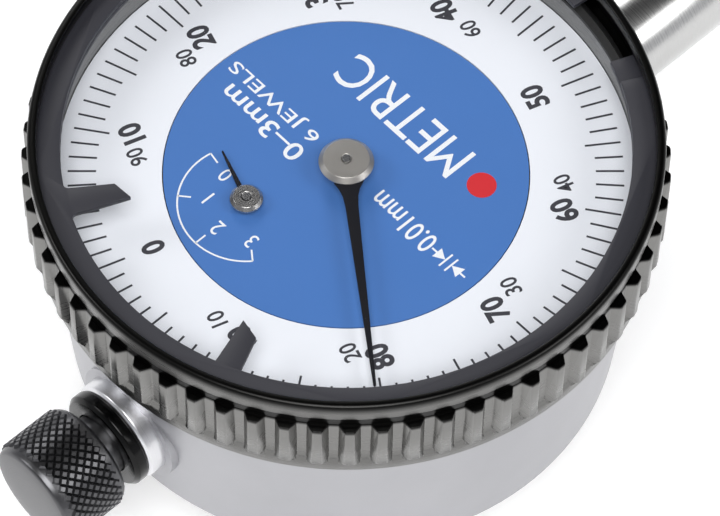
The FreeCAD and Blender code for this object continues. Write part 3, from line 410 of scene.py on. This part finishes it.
def bezel():
    """One pitch of rib and groove, repeated round the ring."""
    pitch = math.tau / RIB_COUNT
    shares = ((False, 0.16, 2), (True, 0.32, 3), (False, 0.16, 2))
    flank = (1 - sum(share for _, share, _ in shares)) / 2
    bm = bmesh.new()
    turn = 0.0
    last_end = []
    for rib, share, steps in shares:
        start = chain(bm, bezel_profile(rib))
        verts = [g for g in start if isinstance(g, bmesh.types.BMVert)]
        first_edges = [g for g in start if isinstance(g, bmesh.types.BMEdge)]
        bmesh.ops.rotate(bm, cent=(0, 0, 0), matrix=Matrix.Rotation(turn, 3, "Z"), verts=verts)
        made = bmesh.ops.spin(bm, geom=start, cent=(0, 0, 0), axis=(0, 0, 1), angle=share * pitch,
                              steps=steps)
        if last_end:
            bmesh.ops.bridge_loops(bm, edges=last_end + first_edges)
        last_end = [g for g in made["geom_last"] if isinstance(g, bmesh.types.BMEdge)]
        turn += (share + flank) * pitch
    bmesh.ops.spin(bm, geom=bm.verts[:] + bm.edges[:] + bm.faces[:], cent=(0, 0, 0), axis=(0, 0, 1),
                   angle=math.tau - pitch, steps=RIB_COUNT - 1, use_duplicate=True)
    bmesh.ops.remove_doubles(bm, verts=bm.verts, dist=1e-3)
    bmesh.ops.recalc_face_normals(bm, faces=bm.faces)

    def upright(edge):
        """The long edges of the ribs and grooves, clear of both ends."""
        low, high = sorted(v.co.z for v in edge.verts)
        in_band = low > SHOULDER_Z + 0.15 and high < RIB_TOP_Z - 0.05
        return in_band and high - low > 0.1 and edge.verts[0].co.xy.length > WAIST_R

    ease(bm, 0.13, 2, 12.0, upright)
    finished("bezel_ring_turned", bm, "bezel_ring", "bezel_black", stands_for=("bezel",))


# ---- plunger line ------------------------------------------------------------------------
def knurled_knob():
    """A knob with flat-topped diamonds between two smooth bevels."""
    around = 34
    rows = 6
    neck_r = 3.0
    bm = bmesh.new()
    step = (KNURL_HEAD_Y - KNURL_FOOT_Y) / rows
    ladder = [(KNURL_R, KNURL_FOOT_Y + step * k) for k in range(rows + 1)]
    rim = [(5.0, 37.42), (4.93, 37.6)] + arc((4.5, 37.5), 0.46, 30, 85, 4)
    crown = [(3.6, 38.03), (2.2, 38.08), (0, 38.1)]
    back = [(0, 25.3), (neck_r, 25.3), (neck_r, 31.2), (4.75, 31.2), (5.0, 31.5)]
    spun = chain(bm, back + ladder + rim + crown)
    bmesh.ops.spin(bm, geom=spun, cent=(0, 0, 0), axis=(0, 0, 1), angle=math.tau, steps=around,
                   use_merge=True)
    bmesh.ops.remove_doubles(bm, verts=bm.verts, dist=JOIN)
    bmesh.ops.recalc_face_normals(bm, faces=bm.faces)
    band = [f for f in bm.faces
            if KNURL_FOOT_Y < f.calc_center_median().z < KNURL_HEAD_Y and len(f.verts) == 4]
    inner_edges = [e for e in bm.edges if len(e.link_faces) == 2 and all(f in band for f in e.link_faces)]
    poked = bmesh.ops.poke(bm, faces=band)
    for vert in poked["verts"]:
        vert.co.xy *= KNURL_R / vert.co.xy.length
    bmesh.ops.dissolve_edges(bm, edges=inner_edges, use_verts=False)
    diamonds = [f for f in bm.faces
                if len(f.verts) == 4 and KNURL_FOOT_Y < f.calc_center_median().z < KNURL_HEAD_Y
                and abs(f.calc_center_median().xy.length - KNURL_R) < 0.1]
    bmesh.ops.inset_individual(bm, faces=diamonds, thickness=0.19, depth=0.24)
    plain = {f for f in bm.faces
             if f.calc_center_median().z > KNURL_HEAD_Y + 0.01
             or f.calc_center_median().z < KNURL_FOOT_Y - 0.05}
    rounds = [e for e in bm.edges
              if e.link_faces and all(f in plain for f in e.link_faces)
              and abs(e.verts[0].co.z - e.verts[1].co.z) < 1e-5]
    bmesh.ops.subdivide_edges(bm, edges=rounds, cuts=1)
    finished("lifting_knob_knurled", onto_plunger_axis(bm), "spindle", "knob_black",
             stands_for=("lifting_knob",), sharp=28.0)


def bushing():
    base_y = 22.3
    spigot_y = 24.5
    bm = turned([(PLUNGER_BORE_R, base_y), (BUSHING_R, base_y), (BUSHING_R, BUSHING_FACE_Y - 0.3),
                 (BUSHING_R - 0.3, BUSHING_FACE_Y), (SPIGOT_R, BUSHING_FACE_Y), (SPIGOT_R, COLLAR_SEAT_Y),
                 (COLLAR_BORE_R, COLLAR_SEAT_Y), (COLLAR_BORE_R, spigot_y), (PLUNGER_BORE_R, spigot_y)],
                128, 0.06)
    finished("upper_bushing_turned", onto_plunger_axis(bm), "housing", "cover_silver", bushing_silver,
             ("upper_bushing",))


def dust_collar():
    collar_r = 4.85
    face_y = 29.8
    bm = turned([(COLLAR_BORE_R, COLLAR_SEAT_Y), (SPIGOT_R, COLLAR_SEAT_Y), (SPIGOT_R, BUSHING_FACE_Y),
                 (collar_r - 0.2, BUSHING_FACE_Y), (collar_r, BUSHING_FACE_Y + 0.2), (collar_r, face_y - 0.4),
                 (collar_r - 0.35, face_y), (COLLAR_BORE_R, face_y)], 128, 0.07, 3)
    finished("dust_collar_turned", onto_plunger_axis(bm), "housing", "black_metal",
             stands_for=("dust_collar",))


def stem():
    spigot_end_y = -23.0
    bm = turned([(PLUNGER_BORE_R, STEM_END_Y), (STEM_R - STEM_CHAMFER, STEM_END_Y),
                 (STEM_R, STEM_END_Y + STEM_CHAMFER), (STEM_R, STEM_TOP_Y), (SPIGOT_R, STEM_TOP_Y),
                 (SPIGOT_R, spigot_end_y), (PLUNGER_BORE_R, spigot_end_y)], 128, 0.08)
    finished("stem_ground", onto_plunger_axis(bm), "housing", "plain_steel", stem_steel, ("stem",))


# ---- dial prints ---------------------------------------------------------------------------
def lettering(bm, label, box, height=None, squeeze=1.0, weight=0.0):
    """Printed text. The box is a centre with a height, or (left, right, foot, head)."""
    curve = bpy.data.curves.new("lettering", "FONT")
    letter_depth = 0.1
    curve.body = label
    curve.offset = weight
    curve.extrude = letter_depth / 2
    curve.resolution_u = 4
    writing = bpy.data.objects.new("lettering", curve)
    bpy.context.scene.collection.objects.link(writing)
    bpy.context.view_layer.update()
    mesh = bpy.data.meshes.new_from_object(writing)
    bpy.data.objects.remove(writing)
    xs = [v.co.x for v in mesh.vertices]
    ys = [v.co.y for v in mesh.vertices]
    wide, tall = max(xs) - min(xs), max(ys) - min(ys)
    if height:
        half = height * squeeze * wide / tall / 2
        box = (box[0] - half, box[0] + half, box[1] - height / 2, box[1] + height / 2)
    grow = Matrix.Diagonal(((box[1] - box[0]) / wide, (box[3] - box[2]) / tall, INK / letter_depth, 1.0))
    centre = Matrix.Translation((-(max(xs) + min(xs)) / 2, -(max(ys) + min(ys)) / 2, 0.0))
    place = Matrix.Translation(((box[0] + box[1]) / 2, (box[2] + box[3]) / 2, DIAL_Z + INK / 2))
    mesh.transform(place @ grow @ centre)
    bm.from_mesh(mesh)


def clock(radius, degrees):
    """The place at a radius and a clock angle."""
    a = math.radians(degrees)
    return radius * math.sin(a), radius * math.cos(a)


def stroke(bm, width, start_r, end_r, degrees, centre=(0.0, 0.0)):
    """A printed radial line."""
    made = bmesh.ops.create_cube(bm, size=1.0)["verts"]
    bmesh.ops.scale(bm, vec=(width, end_r - start_r, INK), verts=made)
    bmesh.ops.translate(bm, vec=(0, (start_r + end_r) / 2, DIAL_Z + INK / 2), verts=made)
    bmesh.ops.rotate(bm, cent=(0, 0, 0), matrix=Matrix.Rotation(math.radians(-degrees), 3, "Z"), verts=made)
    bmesh.ops.translate(bm, vec=(*centre, 0), verts=made)


LARGE_NUMBERS = {0: (19.0, 0.0), 10: (19.8, 37.1), 20: (19.8, 73.2), 30: (19.6, 106.6), 40: (19.9, 142.6),
                 50: (19.0, 180.0), 60: (19.9, -142.6), 70: (19.5, -106.6), 80: (19.6, -73.0),
                 90: (19.8, -37.0)}
SMALL_NUMBERS = {90: (18.9, 29.9), 80: (19.1, 65.6), 70: (18.9, 114.7), 60: (19.4, 151.5),
                 40: (19.6, -150.9), 30: (18.9, -114.7), 20: (19.0, -65.4), 10: (19.3, -28.4)}


def scale_print():
    """The outer scale, its numbers placed by radius and clock angle."""
    bm = bmesh.new()
    for division in range(DIVISIONS):
        inner = LONG_MARK_R if division % 5 == 0 else SHORT_MARK_R
        stroke(bm, 0.2, inner, SCALE_EDGE_R, division * 360 / DIVISIONS)
    for number, place in LARGE_NUMBERS.items():
        lettering(bm, str(number), clock(*place), 2.2, 0.86, 0.032)
    for number, place in SMALL_NUMBERS.items():
        lettering(bm, str(number), clock(*place), 1.6, 0.86, 0.012)
    turn = Matrix.Rotation(math.radians(-SCALE_TURN), 3, "Z")
    bmesh.ops.rotate(bm, cent=(0, 0, 0), matrix=turn, verts=bm.verts)
    finished("scale_print", bm, "bezel_ring", "hand_black", dark_ink)


def counter_arc(bm):
    """The thin arc that the small pointer sweeps."""
    half_width = 0.08
    corners = ((-half_width, 0), (half_width, 0), (half_width, INK), (-half_width, INK))
    start = [bm.verts.new((0, COUNTER_MARK_R[1] + across, DIAL_Z + up)) for across, up in corners]
    bmesh.ops.rotate(bm, cent=(0, 0, 0), matrix=Matrix.Rotation(math.radians(53.0), 3, "Z"), verts=start)
    bmesh.ops.spin(bm, geom=start + [bm.faces.new(start)], cent=(0, 0, 0), axis=(0, 0, -1),
                   angle=math.radians(153.8), steps=60)
    bmesh.ops.translate(bm, vec=(*COUNTER_CENTRE, 0), verts=bm.verts)


def counter_marks(bm):
    """The counter's four marks and their numbers."""
    for turn in (100.8, 49.2, -1.1, -53.0):
        stroke(bm, 0.16, *COUNTER_MARK_R, turn, COUNTER_CENTRE)
    for number, place in enumerate(((7.0, 8.3), (6.2, 11.1), (3.3, 12.6), (0.2, 11.3))):
        lettering(bm, str(number), place, 1.5, 0.9)


def travel_symbol(bm):
    """Two bars with an arrow pointing at each from outside."""
    head_r = 0.7
    head_reach = 0.79
    for x, turn in ((-13.6, 90.0), (-12.9, -90.0)):
        stroke(bm, 0.18, -0.95, 0.75, 0.0, (x, 0.0))
        stroke(bm, 0.18, 1.14, 1.75, -turn, (x, -0.1))
        head = bmesh.ops.create_cone(bm, cap_ends=True, segments=3, radius1=head_r, radius2=head_r,
                                     depth=INK)["verts"]
        aim = Matrix.Rotation(math.radians(turn + 180), 3, "Z")
        bmesh.ops.rotate(bm, cent=(0, 0, 0), matrix=aim, verts=head)
        away = -head_reach if turn > 0 else head_reach
        bmesh.ops.translate(bm, vec=(x + away, -0.1, DIAL_Z + INK / 2), verts=head)


def dial_print():
    bm = bmesh.new()
    counter_arc(bm)
    lettering(bm, "0\u20133mm", (4.0, 14.0, 1.1, 3.05), weight=0.01)
    lettering(bm, "6 JEWELS", (4.3, 15.6, -1.3, 0.4), weight=0.004)
    lettering(bm, "0.01mm", (-11.0, -3.7, -1.15, 0.95), weight=0.006)
    lettering(bm, "METRIC", (-6.6, 8.6, -9.9, -6.0))
    travel_symbol(bm)
    counter_marks(bm)
    finished("dial_print", bm, "housing", "scale_white", white_ink)


def red_spot():
    bm = bmesh.new()
    bmesh.ops.create_cone(bm, cap_ends=True, segments=48, radius1=1.35, radius2=1.35, depth=INK,
                          matrix=Matrix.Translation((-9.3, -7.95, DIAL_Z + INK / 2)))
    finished("dial_print_spot", bm, "housing", "dial_blue", red_ink)


# ---- hands, hubs and crystal -----------------------------------------------------------------
def hub(name, node, body, finish, centre, bore, spigot, foot_z, seat_z, radius, top_z, chamfer):
    """A pressed hub with a crisp chamfer and a countersunk bore."""
    sink = 0.3 * bore
    profile = [(bore, foot_z), (spigot, foot_z), (spigot, seat_z), (radius, seat_z),
               (radius, top_z - chamfer), (radius - chamfer, top_z), (bore + sink, top_z),
               (bore, top_z - sink)]
    bm = turned(profile, 96, 0.02, 1)
    finished(name, shifted(bm, (*centre, 0)), body, "hub_steel", finish, (node,), sharp=15.0)


def hubs():
    hub("pointer_hub_turned", "pointer_hub", "centre", FINISHES["hub_steel"], (0.0, 0.0), bore=0.4,
        spigot=1.1, foot_z=30.6, seat_z=31.55, radius=2.5, top_z=32.05, chamfer=0.42)
    hub("small_hub_turned", "small_hub", "counter", small_hub_steel, COUNTER_CENTRE, bore=0.4,
        spigot=0.8, foot_z=30.15, seat_z=30.55, radius=1.5, top_z=31.05, chamfer=0.3)


def hands():
    finished("pointer_blade", eased_copy("pointer", 0.04), "centre", "hand_black", stands_for=("pointer",))
    finished("small_pointer_blade", eased_copy("small_pointer", 0.03), "counter", "hand_black",
             stands_for=("small_pointer",))
    finished("upper_limit_ring", eased_copy("limit_hand_upper", 0.07), "upper_limit", "limit_black",
             stands_for=("limit_hand_upper",))
    finished("lower_limit_ring", eased_copy("limit_hand_lower", 0.07), "lower_limit", "limit_black",
             stands_for=("limit_hand_lower",))


def crystal():
    crystal_r = 26.85
    low_z = 32.9
    high_z = 33.7
    bm = turned([(0, low_z), (crystal_r, low_z), (crystal_r, high_z), (0, high_z)], 160, 0.1)
    finished("crystal_flat", bm, "bezel_ring", "crystal_clear", stands_for=("crystal",))


bezel()
knurled_knob()
bushing()
dust_collar()
stem()
scale_print()
dial_print()
red_spot()
hubs()
hands()
crystal()

# The designed nodes that stay on show take the same finishes.
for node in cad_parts.values():
    for held in node.material_slots:
        if held.material.name in FINISHES:
            held.material = FINISHES[held.material.name].material


# ---- stage, light and camera -------------------------------------------------------------------
def stage():
    """A pale floor, in metres, a hair below the part."""
    half_width = 3.0
    gap = 0.00005
    bm = bmesh.new()
    bmesh.ops.create_grid(bm, x_segments=2, y_segments=2, size=half_width)
    bmesh.ops.translate(bm, vec=(0, 0, -gap), verts=bm.verts)
    mesh = bpy.data.meshes.new("floor")
    bm.to_mesh(mesh)
    bm.free()
    finish = Finish("pale floor", Metallic=0.0, Specular_IOR_Level=0.0, Emission_Color=(1.0, 1.0, 1.0),
                    Emission_Strength=0.25)
    finish.vary(Base_Color=finish.blend(finish.grain(40.0), (0.90, 0.90, 0.90), (0.93, 0.93, 0.93)),
                Roughness=0.9 + finish.grain(5.0) * 0.05)
    mesh.materials.append(finish.material)
    floor = bpy.data.objects.new("floor", mesh)
    bpy.context.scene.collection.objects.link(floor)


def soft_light(name, place, size, power):
    """A round lamp aimed at the middle of the part."""
    middle = Vector((0, 0, 0.02))
    data = bpy.data.lights.new(name, "AREA")
    data.shape = "DISK"
    data.size = size
    data.energy = power
    lamp = bpy.data.objects.new(name, data)
    lamp.location = place
    lamp.rotation_euler = (middle - Vector(place)).to_track_quat("-Z", "Y").to_euler()
    bpy.context.scene.collection.objects.link(lamp)


def light():
    soft_light("key light", (-0.45, 0.45, 1.3), 0.9, 15.0)
    soft_light("left light", (-1.1, -0.6, 1.1), 0.8, 8.0)
    soft_light("right light", (1.1, 0.9, 1.2), 0.8, 8.0)
    soft_light("stem light", (1.15, -0.65, 0.95), 0.8, 6.0)


def sky():
    """A pale surround that darkens overhead."""
    world = bpy.data.worlds.new("studio")
    world.use_nodes = True
    nodes = world.node_tree.nodes
    links = world.node_tree.links
    background = nodes["Background"]
    direction = nodes.new("ShaderNodeTexCoord")
    split = nodes.new("ShaderNodeSeparateXYZ")
    ramp = nodes.new("ShaderNodeValToRGB")
    stops = ramp.color_ramp.elements
    stops[0].position = 0.25
    stops[0].color = (0.95, 0.96, 1.0, 1.0)
    stops[1].position = 0.65
    stops[1].color = (0.02, 0.02, 0.022, 1.0)
    links.new(direction.outputs["Generated"], split.inputs[0])
    links.new(split.outputs[2], ramp.inputs[0])
    links.new(ramp.outputs[0], background.inputs["Color"])
    background.inputs["Strength"].default_value = 0.6
    bpy.context.scene.world = world


def camera():
    data = bpy.data.cameras.new("camera")
    data.lens = 210.0
    data.sensor_width = 36.0
    data.clip_start = 0.01
    data.clip_end = 20.0
    view = bpy.data.objects.new("camera", data)
    view.location = (-0.150268, 0.143303, 0.345177)
    view.rotation_euler = [math.radians(a) for a in (32.190, -0.7270, -132.880)]
    bpy.context.scene.collection.objects.link(view)
    bpy.context.scene.camera = view


stage()
light()
sky()
camera()
bpy.context.scene.view_settings.view_transform = "Standard"
